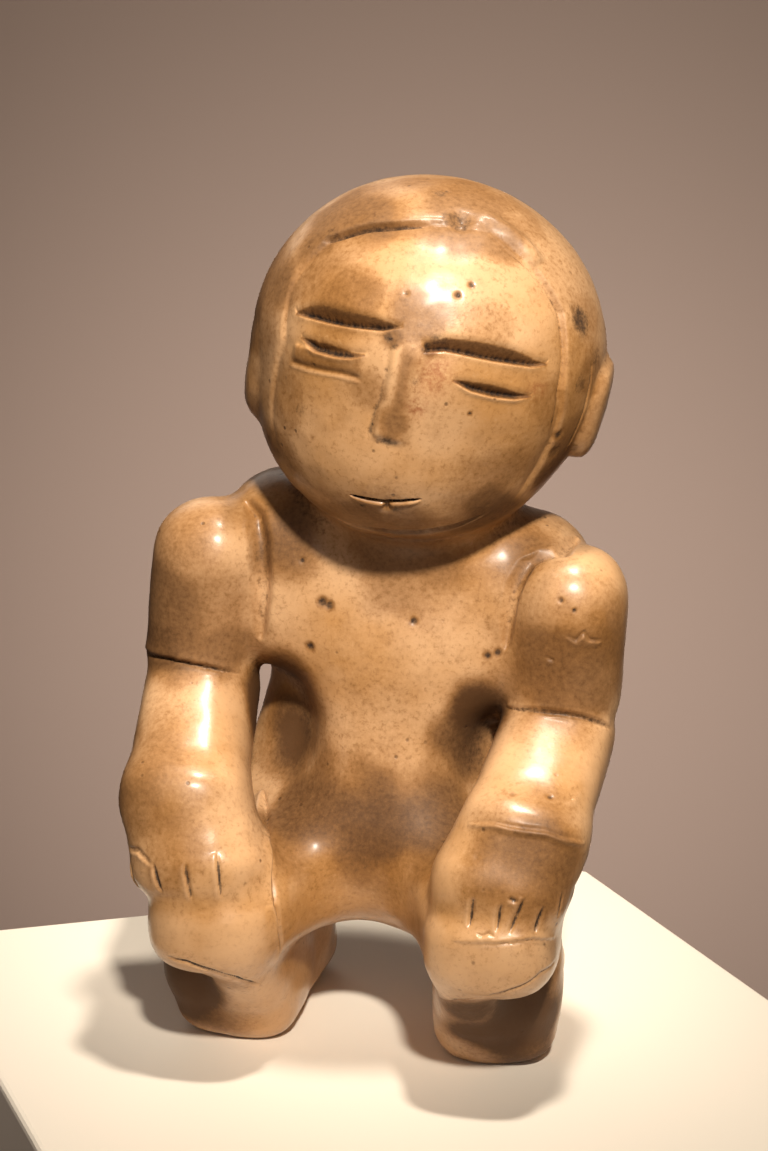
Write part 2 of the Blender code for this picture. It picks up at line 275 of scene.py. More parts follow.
def fromPath(points, path, outward=None):
    # distance from a path, share of the way along it, and side of it (above a flat path, or by outward).
    # A path may lie a little off the skin, so most of the gap along outward is left out.
    leftOut = 0.9
    path = np.array(path, float)
    lengths = np.linalg.norm(np.diff(path, axis=0), axis=1)
    travelled = np.concatenate([[0], np.cumsum(lengths)])
    nearest = np.full(len(points), np.inf)
    side = np.zeros(len(points))
    along = np.zeros(len(points))
    for index, length in enumerate(lengths):
        heading = (path[index + 1] - path[index]) / length
        offset = points - path[index]
        share = np.clip(offset @ heading, 0, length)
        gap = offset - share[:, None] * heading
        if outward is not None:
            gap -= (gap * outward).sum(1)[:, None] * outward * leftOut
        distance = np.linalg.norm(gap, axis=1)
        closer = distance < nearest
        nearest[closer] = distance[closer]
        if outward is None:
            across = offset @ np.array((-heading[1], heading[0]))
        else:
            across = (np.cross(outward, heading) * offset).sum(1)
        side[closer] = across[closer]
        along[closer] = ((travelled[index] + share) / travelled[-1])[closer]
    return nearest, along, side


def nearPath(points, path, reach):
    # whether each point lies in the path's box, widened by reach
    path = np.array(path, float)
    return np.all((points > path.min(0) - reach) & (points < path.max(0) + reach), axis=1)


def tapered(along, power=3):
    # 1 in the middle of a path and 0 at its ends
    return np.sqrt(np.clip(1 - np.abs(2 * along - 1) ** power, 0.0, 1))


def roughness(points, scale, seed):
    # smooth noise from -1 to 1 at each point
    offset = Vector((seed * 7.3, seed * 3.1, seed * 5.7))
    return np.array([noise.noise(Vector(point) * scale + offset) for point in points])


# The face: cut brows and slit eyes, a low flat nose and a small mouth, as (across, up) in the head's frame.
# A brow or eye is a facet above its edge, and its reach is how far up it goes all along that edge.
brows = {
    "left": {"edge": ((-14.1, 5.3), (-12.3, 5.75), (-8.8, 6.5), (-4.5, 7.6), (-2.8, 8.4)),
             "reach": (0.2, 1.1, 1.45, 1.5, 1.4, 1.3, 1.15, 0.8, 0.1)},
    "right": {"edge": ((0.5, 6.9), (2.3, 7.45), (4.0, 7.5), (6.6, 7.45), (9.2, 7.4), (11.3, 7.3),
                       (12.6, 7.5)),
              "reach": (0.9, 1.15, 1.35, 1.5, 1.45, 1.25, 0.8, 0.1)},
    "depth": 1.5, "under": 0.3, "soften": 0.55, "dents": 0.1, "dirtAndShade": 0.42, "lip": 0.3, "burr": 0.05,
}
eyes = {
    "left": {"edge": ((-12.7, 3.3), (-10.8, 2.9), (-8.6, 3.3), (-6.9, 3.8), (-5.7, 4.5)),
             "reach": (0.1, 0.75, 1.0, 1.0, 0.8, 0.5, 0.1)},
    "right": {"edge": ((4.1, 4.65), (6.0, 4.05), (8.5, 3.8), (10.5, 3.8), (12.0, 4.1)),
              "reach": (0.1, 0.7, 1.0, 1.1, 0.95, 0.6, 0.1)},
    "depth": 1.35, "under": 0.25, "soften": 0.5, "dents": 0.06, "dirtAndShade": 0.5, "lip": 0.7, "burr": 0.16,
}
wedge = {"run": 1.8, "foot": 0.45, "lip": 0.28, "ends": 0.2, "open": 0.8, "dentTurns": (88, 21, 37)}
lidPad = {"top": ((-13.4, 1.9), (-10.5, 2.6), (-6.2, 4.0)),
          "bottom": ((-12.9, 0.0), (-10.4, 0.6), (-7.5, 1.4), (-5.5, 1.6)), "rise": 0.25}
nose = {"left": ((-3.0, 7.0), (-2.5, 3.1), (-2.4, 0.7), (-2.6, -1.1), (-2.5, -3.0)),
        "right": ((0.0, 7.8), (0.1, 5.3), (0.0, 3.2), (0.4, 1.1), (0.6, -1.3), (0.5, -3.0)),
        "bottom": -3.8, "rise": 0.5}
mouth = {"slit": ((-3.4, -11.2), (-1.4, -11.0), (0.3, -10.75), (2.2, -10.1), (4.0, -9.3)),
         "notch": (0.7, -11.25), "width": 0.62, "depth": 0.6, "burr": 0.14}
# Dirt and reddish clay on the face: middle, width, height and amount.
faceMarkings = {
    "grimeAndShade": (((-3.6, 6.9), 0.7, 0.5, 0.6), ((-2.9, 6.3), 0.5, 0.5, 0.5), ((1.3, 8.2), 1.6, 0.9, 0.42),
              ((0.4, 7.2), 0.6, 0.9, 0.5), ((-1.8, -12.1), 0.5, 0.3, 0.5), ((1.8, -11.5), 0.9, 0.7, 0.4),
              ((0.2, 3.6), 0.7, 0.8, 0.35)),
    "red": (((2.0, 4.6), 1.6, 2.2, 0.8), ((1.2, 1.0), 1.0, 1.0, 0.9), ((12.6, 4.8), 0.9, 0.9, 0.6)),
}


def darkened(marks, name, amount):
    # marks hold how much grime and painted shade, stain and painted shade, rubbed clay and painted highlight,
    # and red lie at each vertex
    marks[name] = np.maximum(marks[name], amount)


def blob(flat, middle, wide, high):
    # a soft spot on the face
    return np.exp(-(((flat[:, 0] - middle[0]) / wide) ** 2 + ((flat[:, 1] - middle[1]) / high) ** 2))


def carveWedge(flat, cut, kind, marks):
    # a flat facet that leans inwards from its arched top to a straight lower edge with small dents along it
    # the facet is painted brown as shade, dark earth lies in the dents, and the lip below the edge is painted
    # pale as a highlight
    nearest, along, above = fromPath(flat, cut["edge"])
    reach = np.interp(along, np.linspace(0, 1, len(cut["reach"])), cut["reach"])
    within = smoothstep(1 - (nearest - np.abs(above)) / wedge["ends"])
    opened = within * smoothstep(reach / wedge["open"])
    edge = 1 + above / kind["under"]
    inside = (reach - above) / wedge["run"]
    soft = kind["soften"] / wedge["run"]
    facet = np.where(inside > soft, inside, np.maximum(inside + soft, 0) ** 2 / (4 * soft))
    full = np.maximum(reach, 0.15) / wedge["run"]
    drop = np.where(above > 0, facet, full * smoothstep(edge)) * within
    quick, slow, other = (along * turns for turns in wedge["dentTurns"])
    dents = smoothstep(0.5 + 0.5 * np.sin(quick + 2 * np.sin(slow)) * np.sin(other + 1))
    foot = np.exp(-((np.maximum(above, 0) / wedge["foot"]) ** 2)) * smoothstep(edge) * opened
    lip = np.exp(-(((above + kind["under"] + 0.1) / wedge["lip"]) ** 2)) * opened
    inFacet = smoothstep(inside * 6 + 0.3) * smoothstep(edge + 0.5) * within
    darkened(marks, "grimeAndShade", foot * (kind["dirtAndShade"] + 0.2 * dents))
    darkened(marks, "stainAndShade", 0.95 * inFacet)
    darkened(marks, "rubAndHighlight", kind["lip"] * lip)
    return kind["burr"] * lip - kind["depth"] * drop - kind["dents"] * dents * foot


def carveNose(flat, marks):
    # a low ridge with a crisp left side and a soft right side, a dark line along the left side, painted shade
    # down the right side, a painted highlight on the left edge and a darker tip
    across, height = flat[:, 0], flat[:, 1]
    left, right = (np.interp(height, *zip(*((up, out) for out, up in nose[side][::-1])))
                   for side in ("left", "right"))
    fromLeft, fromRight, foot = across - left, right - across, height - nose["bottom"]
    down = np.clip((7.5 - height) / 11, 0, 1)
    ends = smoothstep(foot / 1.3 + 0.3) * smoothstep((8.6 - height) / 3)
    ridge = smoothstep(fromLeft / 0.8 + 0.5) * smoothstep(fromRight / 2.6 + 0.5) * ends
    moat = np.exp(-(((fromLeft + 0.42) / 0.3) ** 2)) * smoothstep(foot / 0.8 + 0.4)
    moat *= smoothstep((6.6 - height) / 1.5)
    shadow = np.exp(-(((fromRight + 0.5) / 0.75) ** 2)) * smoothstep(foot + 0.5) * smoothstep(7.4 - height)
    tip = blob(flat, (-0.9, nose["bottom"] + 0.15), 1.1, 0.5)
    darkened(marks, "grimeAndShade", 0.5 * moat * (0.35 + 0.65 * down))
    darkened(marks, "grimeAndShade", 0.12 * shadow)
    darkened(marks, "grimeAndShade", 0.62 * tip)
    darkened(marks, "stainAndShade", 0.75 * ridge * smoothstep(fromLeft / 1.2 - 0.2))
    darkened(marks, "stainAndShade", 0.35 * shadow)
    darkened(marks, "rubAndHighlight", 0.1 * np.exp(-(((fromLeft - 0.2) / 0.25) ** 2)) * ends)
    return nose["rise"] * (0.35 + 0.65 * down) * ridge - 0.12 * moat - 0.06 * shadow - 0.15 * tip


def carvePad(flat, marks):
    # the puffed lower lid under the left eye
    # the pad is browner, its lower edge is painted pale as rubbed clay and highlight, and the groove under it
    # is darker
    _, _, aboveTop = fromPath(flat, lidPad["top"])
    _, _, aboveBottom = fromPath(flat, lidPad["bottom"])
    sides = smoothstep((flat[:, 0] + 13.6) / 0.7) * smoothstep((-5.0 - flat[:, 0]) / 0.9)
    pad = smoothstep(aboveBottom / 0.4) * smoothstep((0.6 - aboveTop) / 0.5) * sides
    under = np.exp(-(((aboveBottom - 0.35) / 0.35) ** 2)) * sides
    edge = np.exp(-(((aboveBottom + 0.1) / 0.2) ** 2)) * sides
    darkened(marks, "rubAndHighlight", 0.9 * edge)
    darkened(marks, "stainAndShade", 0.55 * pad + 0.2 * under)
    return 0.12 * edge + lidPad["rise"] * pad * smoothstep(aboveBottom / 1.6) - 0.16 * under


def carveMouth(flat, marks):
    # a fine slit with a notch under its middle and a raised edge below
    # the raised edge below and a spot under the notch are painted pale, as rubbed clay and painted highlight
    nearest, along, above = fromPath(flat, mouth["slit"])
    half = mouth["width"] / 2 * tapered(along)
    lip = smoothstep(1.2 * (1 - nearest / np.maximum(half, 0.01)))
    burr = np.exp(-(((above + half + 0.15) / 0.2) ** 2)) * tapered(along, 4) * (nearest < half + 0.8)
    notch = blob(flat, mouth["notch"], 0.38, 0.6)
    darkened(marks, "grimeAndShade", smoothstep((lip - 0.15) / 0.4) * (above > -0.15))
    darkened(marks, "rubAndHighlight", 0.6 * burr)
    darkened(marks, "rubAndHighlight", 0.7 * blob(flat, (0.7, -12.0), 0.45, 0.22))
    darkened(marks, "grimeAndShade", 0.4 * notch)
    return mouth["burr"] * burr - mouth["depth"] * lip - 0.5 * notch


def carveFace(place, marks):
    flat = place[:, [0, 2]]
    shift = carvePad(flat, marks) + carveNose(flat, marks) + carveMouth(flat, marks)
    for side in ("left", "right"):
        shift += carveWedge(flat, brows[side], brows, marks) + carveWedge(flat, eyes[side], eyes, marks)
    for name, blobs in faceMarkings.items():
        for middle, wide, high, amount in blobs:
            darkened(marks, name, amount * blob(flat, middle, wide, high))
    front = place[:, 1] < head["faceFront"]
    for values in marks.values():
        values[~front] = 0
    return np.where(front, shift, 0)


# The hair's lip with its creases, roll and notch, and the folds under the chin, in the head's frame. The lip
# is a ring of (turn from the crown, opening from the face's axis, how strongly it is cut), in degrees.
hair = {
    "lip": ((-180, 58, 0), (-130, 56, 0), (-108, 53, 0.4), (-83, 50, 0.5), (-68, 58, 0.4), (-60, 62, 0.7),
            (-46, 65, 1), (-20, 63, 1), (1, 66, 0.7), (9, 68, 0.3), (30, 66, 0.8), (46, 64, 0.9),
            (59, 59, 0.8), (73, 56, 0.8), (89, 57, 0.7), (111, 59, 0.6), (130, 60, 0), (180, 58, 0)),
    "groove": 0.32, "grooveWidth": 1.5, "step": 0.5, "stepWidth": 2.2, "stepFade": 10,
    "rise": 0.14, "riseFade": 5, "stainAndShade": 0.5, "stainWidth": 2.5, "outside": 0.38,
    "creases": (
        {"path": ((-13.8, -8.3, 12.1), (-11.5, -8.6, 13.5), (-9.6, -8.7, 14.8), (-6.8, -9.0, 16.1),
                  (-2.7, -8.7, 17.2)),
         "width": 1.2, "depth": 0.4, "grimeAndShade": 0.5},
        {"path": ((2.7, -7.9, 17.7), (5.8, -8.6, 16.6), (8.3, -8.4, 15.5), (10.7, -8.5, 14.0),
                  (12.3, -8.8, 12.3), (14.3, -10.1, 8.3), (14.7, -10.9, 4.6), (15.2, -10.5, -1.2)),
         "width": 0.9, "depth": 0.16, "grimeAndShade": 0.3},
        {"path": ((17.6, -6.2, 9.2), (17.9, -6.3, 4.0), (17.5, -6.4, 0.5), (17.0, -6.5, -3.5)),
         "width": 0.7, "depth": 0.3, "grimeAndShade": 0.6},
    ),
    "roll": {"path": ((1.2, -5.2, 19.4), (3.5, -6.2, 18.9), (6.3, -6.6, 18.0), (9.0, -7.2, 16.4)),
             "width": 3.2, "rise": 0.6},
    "notch": {"place": (-0.2, -7.4, 18.3), "width": 1.9, "depth": 0.8},
}
# Earth left about the hair: place, radius and amount.
headDeposits = (
    ((15.2, -6.8, 11.6), 1.7, 0.5), ((14.2, -7.4, 13.2), 1.0, 0.4), ((-0.4, -7.6, 18.4), 1.3, 0.38),
    ((-1.6, -8.0, 18.3), 1.0, 0.3), ((-12.9, -8.3, 13.0), 0.9, 0.3), ((16.9, -9.0, -3.0), 1.3, 0.4),
    ((16.4, -8.0, 5.0), 1.0, 0.35), ((-3.4, -4.0, 19.8), 0.7, 0.35), ((10.2, -15.9, -4.6), 0.6, 0.35),
    ((-10.8, -15.0, -4.2), 0.9, 0.3), ((17.6, -5.0, 7.5), 1.2, 0.3),
)
chinFolds = (
    {"path": ((-4.6, -10.9, -16.4), (-3.4, -11.6, -16.7), (0.9, -13.2, -15.7), (6.2, -13.4, -13.7),
              (11.0, -12.2, -11.0)),
     "width": 1.4, "depth": 0.3, "grimeAndShade": 0.25, "burr": 0.12},
    {"path": ((-1.9, -9.1, -18.8), (3.7, -10.2, -17.2), (8.9, -9.3, -15.2)),
     "width": 1.4, "depth": 0.3, "grimeAndShade": 0.15},
)
# Pits, here and on the body: place, width and depth.
headPits = (
    ((9.9, -15.7, -4.4), 0.45, 0.25), ((2.9, -13.6, 13.7), 0.3, 0.2), ((1.9, -14.7, 12.6), 0.35, 0.2),
    ((-3.2, -15.4, 11.4), 0.25, 0.15), ((14.9, -6.8, 11.6), 0.9, 0.3), ((13.9, -7.2, 12.6), 0.5, 0.25),
    ((12.9, -13.3, -2.4), 0.3, 0.15), ((-9.3, -16.7, -6.5), 0.5, 0.15), ((10.5, -12.5, -9.2), 0.35, 0.2),
    ((16.6, -9.0, -3.0), 0.8, 0.25), ((15.8, -9.5, -0.6), 0.5, 0.2), ((-2.8, -3.0, 19.6), 0.35, 0.15),
    ((6.5, -17.3, 1.5), 0.2, 0.12), ((-7.5, -17.4, -3.0), 0.2, 0.12), ((4.6, -16.9, 9.4), 0.22, 0.12),
)


def ringOpening(place, ring):
    # degrees inside the hair's lip, and how strongly the lip is cut there
    distance = np.linalg.norm(place, axis=1)
    opening = np.degrees(np.arccos(np.clip(-place[:, 1] / distance, -1, 1)))
    turn = np.degrees(np.arctan2(place[:, 0], place[:, 2]))
    turns = [entry[0] for entry in ring]
    inside = np.interp(turn, turns, [entry[1] for entry in ring]) - opening
    return inside, np.interp(turn, turns, [entry[2] for entry in ring])


def carveStrokes(points, normals, strokes, marks):
    # tapering grooves, darkened with earth and in places with painted shade. A lip stands up above the
    # groove, and a burr below it, painted pale as rubbed clay and highlight.
    shift = np.zeros(len(points))
    for stroke in strokes:
        near = np.flatnonzero(nearPath(points, stroke["path"], stroke["width"] + 2.5))
        if not len(near):
            continue
        nearest, along, above = fromPath(points[near], stroke["path"], normals[near])
        half = stroke["width"] / 2 * tapered(along)
        cut = smoothstep(1 - nearest / np.maximum(half, 0.01)) * tapered(along)
        shift[near] -= stroke["depth"] * cut
        beside = smoothstep(1 - (nearest - np.abs(above)) / 0.4) * tapered(along)
        if "lip" in stroke:
            shift[near] += stroke["lip"] * beside * (above > 0) * np.exp(-np.maximum(above - half, 0) / 1.1)
        if "burr" in stroke:
            burr = beside * np.exp(-(((above + half + 0.1) / 0.3) ** 2))
            shift[near] += stroke["burr"] * burr
            marks["rubAndHighlight"][near] = np.maximum(marks["rubAndHighlight"][near], burr)
        earthAndShade = stroke["grimeAndShade"] * smoothstep((cut - 0.3) / 0.5)
        marks["grimeAndShade"][near] = np.maximum(marks["grimeAndShade"][near], earthAndShade)
    return shift


def carvePits(points, pits, marks):
    # shallow hollows, each with a brown rim and a little earth in it
    shift = np.zeros(len(points))
    for place, width, depth in pits:
        near = 1 - np.linalg.norm(points - np.array(place), axis=1) / (width * 1.9)
        hollow = smoothstep(near)
        shift -= 0.7 * depth * hollow
        darkened(marks, "grimeAndShade", 0.5 * smoothstep(hollow * 1.6 - 0.3))
        darkened(marks, "stainAndShade", 0.8 * smoothstep(near + 0.35))
    return shift


def carveHair(place, normals, marks):
    inside, strength = ringOpening(place, hair["lip"])
    step = smoothstep(inside / hair["stepWidth"] + 0.5)
    shift = -hair["step"] * step * np.exp(-np.maximum(inside, 0) / hair["stepFade"]) * strength
    shift += hair["rise"] * (1 - step) * np.exp(-np.maximum(-inside, 0) / hair["riseFade"]) * strength
    shift -= hair["groove"] * np.exp(-np.abs(inside) / hair["grooveWidth"]) * strength
    shift += carveStrokes(place, normals, hair["creases"] + chinFolds, marks)
    shift += carvePits(place, headPits, marks)
    roll = hair["roll"]
    nearest, along, _ = fromPath(place, roll["path"], normals)
    shift += roll["rise"] * smoothstep(1 - nearest / (roll["width"] / 2)) * tapered(along)
    notch = hair["notch"]
    hollow = smoothstep(1 - np.linalg.norm(place - np.array(notch["place"]), axis=1) / notch["width"])
    for middle, size, amount in headDeposits:
        distance = np.linalg.norm(place - np.array(middle), axis=1) / size
        darkened(marks, "grimeAndShade", amount * smoothstep(1.6 - distance))
    darkened(marks, "stainAndShade", hair["stainAndShade"] * np.exp(-np.abs(inside) / hair["stainWidth"]) * strength)
    darkened(marks, "stainAndShade", hair["outside"] * (1 - smoothstep(inside / 3 + 0.5)))
    return shift - notch["depth"] * hollow


# The body's cuts, on the figure's skin.
def fingerStroke(top, bottom, depth=0.38):
    return {"path": (top, bottom), "width": 0.75, "depth": depth, "grimeAndShade": 0.6, "burr": 0.1}


bodyCuts = (
    # the fingers of the left hand
    fingerStroke((14.5, -26.1, 25.3), (14.2, -26.2, 21.9)),
    fingerStroke((17.5, -26.2, 24.9), (17.2, -26.4, 21.8)),
    fingerStroke((20.0, -25.8, 25.7), (18.5, -26.2, 21.7)),
    fingerStroke((21.9, -24.9, 24.6), (21.0, -25.2, 21.7)),
    fingerStroke((23.7, -23.0, 25.8), (23.2, -23.3, 22.8), 0.2),
    # the fingers of the right hand, a short mark on the left one and a notch at the right one's side
    fingerStroke((-21.1, -25.0, 25.4), (-20.0, -24.8, 22.2)),
    fingerStroke((-17.4, -25.4, 25.9), (-16.6, -25.2, 21.6)),
    fingerStroke((-14.1, -24.3, 27.1), (-13.4, -24.8, 22.0), 0.2),
    fingerStroke((-24.4, -22.5, 24.4), (-23.4, -23.0, 21.4), 0.25),
    fingerStroke((18.3, -26.1, 25.6), (19.2, -25.9, 25.2), 0.3),
    {"path": ((-24.9, -22.0, 25.9), (-23.2, -23.7, 26.3), (-21.4, -24.8, 25.2)),
     "width": 0.9, "depth": 0.25, "grimeAndShade": 0.35, "burr": 0.12},
    # the elbows
    {"path": ((-27.4, -6.5, 44.9), (-26.1, -9.1, 44.8), (-23.5, -10.6, 44.9), (-21.7, -10.8, 44.7),
              (-19.4, -10.7, 44.4), (-17.6, -10.1, 43.9), (-16.0, -8.9, 43.3)),
     "width": 1.2, "depth": 0.3, "grimeAndShade": 0.45, "lip": 0.4},
    {"path": ((14.7, -8.4, 41.7), (16.7, -10.3, 42.1), (18.4, -10.8, 42.3), (20.1, -11.0, 42.3),
              (21.7, -10.8, 42.2), (23.4, -10.4, 41.9), (25.0, -9.5, 41.2), (26.5, -7.5, 40.1)),
     "width": 1.2, "depth": 0.25, "grimeAndShade": 0.4, "lip": 0.35},
    # the left wrist, the edge of the hand and a mark under the fingers
    {"path": ((13.0, -22.5, 32.4), (16.2, -23.6, 33.1), (17.8, -23.8, 32.9), (19.5, -23.8, 32.8),
              (21.8, -23.4, 32.6), (23.4, -23.0, 32.0), (25.7, -20.3, 30.7)),
     "width": 0.8, "depth": 0.1, "grimeAndShade": 0.15, "burr": 0.3},
    {"path": ((12.5, -26.4, 20.3), (13.7, -26.8, 20.4), (17.1, -26.8, 20.6), (20.9, -25.6, 21.1),
              (23.3, -22.5, 20.2)),
     "width": 0.7, "depth": 0.12, "grimeAndShade": 0.1, "lip": 0.25},
    {"path": ((15.0, -26.5, 21.5), (15.7, -26.5, 21.2), (16.3, -26.5, 21.6), (17.0, -26.5, 21.3)),
     "width": 0.5, "depth": 0.2, "grimeAndShade": 0.2, "burr": 0.15},
    # under the knees, the cuts darkened as painted shade
    {"path": ((-19.5, -24.5, 14.7), (-17.3, -24.9, 14.4), (-15.7, -24.7, 13.8), (-14.3, -24.2, 13.4),
              (-12.2, -22.5, 12.1), (-10.3, -18.5, 10.0)),
     "width": 1.0, "depth": 0.35, "grimeAndShade": 0.7},
    {"path": ((10.0, -18.5, 10.9), (12.7, -23.4, 12.7), (15.0, -24.7, 13.6), (17.2, -26.0, 14.7),
              (19.0, -26.2, 15.5), (20.5, -25.8, 16.2), (21.9, -24.8, 17.2), (23.3, -20.8, 17.5)),
     "width": 0.8, "depth": 0.2, "grimeAndShade": 0.5, "lip": 0.15},
    # scratches on the left arm
    {"path": ((21.6, -12.1, 51.4), (22.6, -12.0, 50.8), (23.4, -11.8, 51.8), (24.1, -11.6, 50.9),
              (25.3, -10.6, 50.7)),
     "width": 0.6, "depth": 0.25, "grimeAndShade": 0.15, "burr": 0.15},
    {"path": ((19.5, -11.8, 48.6), (20.3, -11.8, 48.2)),
     "width": 0.6, "depth": 0.25, "grimeAndShade": 0.2, "burr": 0.12},
    {"path": ((23.0, -19.6, 34.8), (24.0, -18.8, 35.2), (25.2, -17.5, 36.3)),
     "width": 0.5, "depth": 0.2, "grimeAndShade": 0.15, "burr": 0.15},
    {"path": ((16.9, -9.2, 58.3), (17.6, -8.9, 59.0), (19.0, -8.9, 59.6), (20.6, -8.6, 59.9)),
     "width": 0.9, "depth": 0.25, "grimeAndShade": 0.15, "burr": 0.15},
    # where the arms stand off the chest, with painted shade beside them, and the inner edge of the right hand
    # and leg
    {"path": ((-13.5, -8.8, 47.4), (-13.2, -9.8, 54.6), (-13.6, -9.4, 59.0), (-14.4, -8.2, 61.6),
              (-16.2, -6.2, 62.9)),
     "width": 3.2, "depth": 1.15, "grimeAndShade": 0.25},
    {"path": ((21.1, -1.0, 60.1), (20.0, -7.7, 59.6), (17.9, -8.2, 59.1), (16.8, -8.4, 58.6),
              (15.4, -9.6, 55.9), (14.7, -9.6, 52.0), (14.6, -9.5, 48.5)),
     "width": 3.0, "depth": 0.95, "grimeAndShade": 0.25},
    {"path": ((-8.5, -17.2, 12.5), (-8.3, -20.2, 17.4), (-8.6, -20.5, 20.3), (-9.3, -19.3, 23.3),
              (-10.2, -17.0, 26.0), (-12.4, -9.7, 27.1), (-13.9, -5.0, 28.6)),
     "width": 2.0, "depth": 0.55, "grimeAndShade": 0.15, "lip": 0.7},
)
bodyPits = (
    ((-6.1, -10.2, 52.7), 0.5, 0.3), ((-5.3, -10.4, 52.4), 0.45, 0.3), ((4.4, -10.7, 51.4), 0.4, 0.25),
    ((-7.5, -10.0, 47.4), 0.45, 0.3), ((12.6, -9.5, 47.8), 0.4, 0.2), ((13.7, -9.4, 48.2), 0.4, 0.2),
    ((-8.6, -9.9, 57.2), 0.3, 0.2), ((-3.6, -10.7, 59.4), 0.3, 0.2), ((20.8, -12.1, 55.2), 0.3, 0.2),
    ((22.3, -12.2, 54.2), 0.25, 0.15), ((24.5, -11.2, 53.0), 0.25, 0.15), ((19.7, -13.3, 38.6), 0.3, 0.2),
    ((17.5, -20.6, 35.0), 0.35, 0.2), ((21.5, -19.8, 35.3), 0.3, 0.2), ((-20.0, -15.0, 37.0), 0.35, 0.2),
    ((-18.5, -12.5, 54.0), 0.25, 0.15), ((14.5, -25.0, 29.5), 0.35, 0.2), ((-16.0, -22.5, 31.5), 0.35, 0.2),
)


markNames = ("grimeAndShade", "stainAndShade", "rubAndHighlight", "red")


def carved(mesh):
    # shifts each vertex along its normal by what is carved or worn there, and returns the marks on the clay
    points, normals = pointsOf(mesh), normalsOf(mesh)
    place, placeNormals = inHead(points), normals @ np.array(head["frame"])
    onHead = np.linalg.norm(place, axis=1) < head["reach"]
    onBody = ~onHead
    marks, shift = {}, np.zeros(len(points))
    hairMarks, faceMarks, bodyMarks = ({name: np.zeros(where.sum()) for name in markNames}
                                       for where in (onHead, onHead, onBody))
    shift[onHead] = carveHair(place[onHead], placeNormals[onHead], hairMarks)
    shift[onHead] += carveFace(place[onHead], faceMarks)
    shift[onBody] = carveStrokes(points[onBody], normals[onBody], bodyCuts, bodyMarks)
    shift[onBody] += carvePits(points[onBody], bodyPits, bodyMarks)
    for name in markNames:
        marks[name] = np.zeros(len(points))
        marks[name][onHead] = np.maximum(hairMarks[name], faceMarks[name])
        marks[name][onBody] = bodyMarks[name]
    worn = 0.12 * roughness(points, 0.15, 1) + 0.05 * roughness(points, 0.5, 2)
    setPoints(mesh, points + normals * (shift + worn)[:, None])
    return marks


# How near a vertex lies to the face's cuts and to the other cuts and pits, in each of the three halvings.
nearFace, nearCut = {1: 2.5, 2: 1.4, 3: 0.55}, {1: 1.4, 2: 0.55}


def nearDetail(mesh, level):
    # where the grain is halved: first about the face and all cuts, then close to them, then at sharp edges
    points = pointsOf(mesh)
    place = inHead(points)
    flat = place[:, [0, 2]]
    onHead = np.linalg.norm(place, axis=1) < head["reach"]
    front = onHead & (place[:, 1] < head["faceFront"] - 1)
    wanted = np.zeros(len(points), bool)
    if level == 1:
        wanted |= onHead & (place[:, 1] < head["faceFront"]) & (np.abs(place[:, 2] - 1) < 20)
    wanted |= front & (fromPath(flat, mouth["slit"])[0] < nearFace[level])
    wedgeReach = nearFace[level] + (0.8 if level < 3 else 0)
    for cut in (brows["left"], brows["right"], eyes["left"], eyes["right"]):
        wanted |= front & (fromPath(flat, cut["edge"])[0] < wedgeReach)
    if level == 2:
        for path in (nose["left"], nose["right"], lidPad["bottom"]):
            wanted |= front & (fromPath(flat, path)[0] < 0.8)
    if level == 3:
        return wanted
    reach = nearCut[level]
    headCuts = hair["creases"] + chinFolds
    for where, strokes, allowed, margin in ((place, headCuts, onHead, 0), (points, bodyCuts, True, 1)):
        for stroke in strokes:
            near = allowed & nearPath(where, stroke["path"], reach + margin)
            gap = fromPath(where[near], stroke["path"], 0 * where[near])[0]
            wanted[near] |= gap < reach + stroke["width"] / 2
    for where, pits in ((points, bodyPits), (place, headPits)):
        for pit, width, _ in pits:
            wanted |= np.linalg.norm(where - np.array(pit), axis=1) < width + reach
    return wanted


def workedClay():
    # the lumps as one skin, pressed on the blended clay, made finer where it is carved, and carved
    grain = clayGrain["fine"]
    mesh = remeshed(roughClay(), clayGrain["rough"])
    for _ in range(3):
        evened(mesh)
        pressedOn(mesh)
    mesh = remeshed(mesh, grain)
    for _ in range(2):
        evened(mesh)
        pressedOn(mesh)
    print("stage: clay pressed,", len(mesh.vertices), "vertices")
    for level in (1, 2, 3):
        finerWhere(mesh, nearDetail(mesh, level))
    pressedOn(mesh)
    marks = carved(mesh)
    print("stage: details carved,", sum(len(face.vertices) - 2 for face in mesh.polygons), "triangles")
    return mesh, marks
